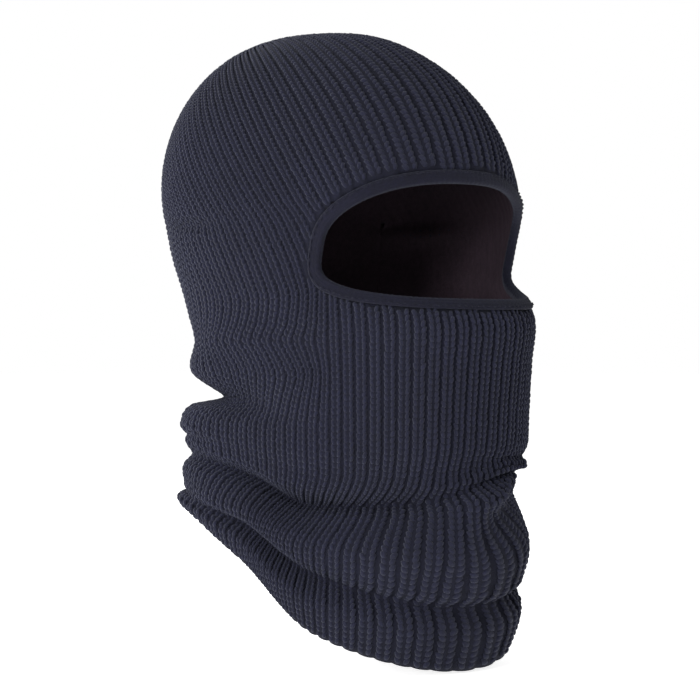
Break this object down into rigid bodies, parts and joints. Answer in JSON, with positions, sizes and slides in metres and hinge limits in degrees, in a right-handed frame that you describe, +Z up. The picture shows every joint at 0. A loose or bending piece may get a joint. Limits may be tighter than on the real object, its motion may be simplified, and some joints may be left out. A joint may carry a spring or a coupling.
{
  "type": "balaclava",
  "caption": "Navy rib-knit balaclava with a bound eye opening, a seamed tongue at the back of the crown and a neck gathered in soft rolls.",
  "frame": {"origin": "where the crown of the head bears on the inside of the knit, on the plane of symmetry", "axes": "+Z up through the crown, -Y out of the eye opening, -X towards the wearer's right"},
  "size_m": [0.1592, 0.2136, 0.2993],
  "materials": {
    "knit": "soft rib knit",
    "binding": "soft knit",
    "yarn": "soft yarn",
    "elastic": "matte",
    "label": "woven"
  },
  "bodies": {
    "root": {"front_panel": "knit", "back_panel": "knit", "right_side_seam_yarn": "yarn", "left_side_seam_yarn": "yarn", "crown_seam_yarn": "yarn", "eye_opening_binding": "binding", "eye_opening_elastic": "elastic", "binding_stitch_yarn": "yarn", "care_label": "label"}
  },
  "joints": []
}
